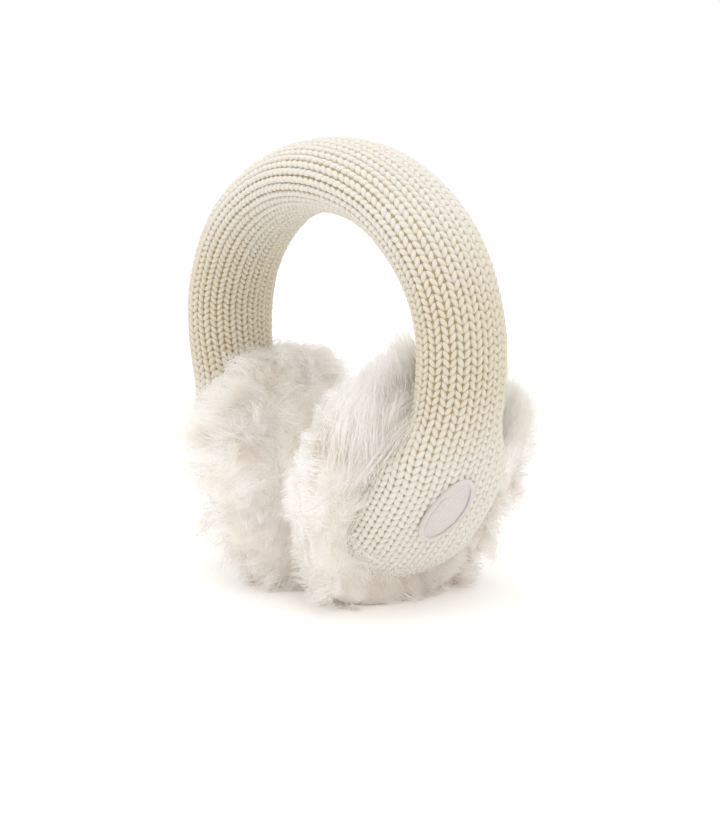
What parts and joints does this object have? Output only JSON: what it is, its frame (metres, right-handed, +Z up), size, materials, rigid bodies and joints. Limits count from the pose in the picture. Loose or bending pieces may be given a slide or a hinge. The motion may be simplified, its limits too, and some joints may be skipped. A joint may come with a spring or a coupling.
{
  "type": "wool earmuffs",
  "caption": "Padded stockinette-knit headband that flares into ear cups lined with deep pads of long fur.",
  "frame": {"origin": "middle of the foot of the bounding box, on the surface that the fur pads stand on", "axes": "+Z up through the crown of the headband, +X to the ear cup with the patch, -Y to the front, where the cups toe in"},
  "size_m": [0.1768, 0.1348, 0.2048],
  "materials": {
    "knit": "matte",
    "fur": "matte",
    "patch": "satin"
  },
  "bodies": {
    "root": {"knit_headband": "knit", "fur_pad_right": "fur", "fur_pad_left": "fur", "patch": "patch"}
  },
  "joints": []
}
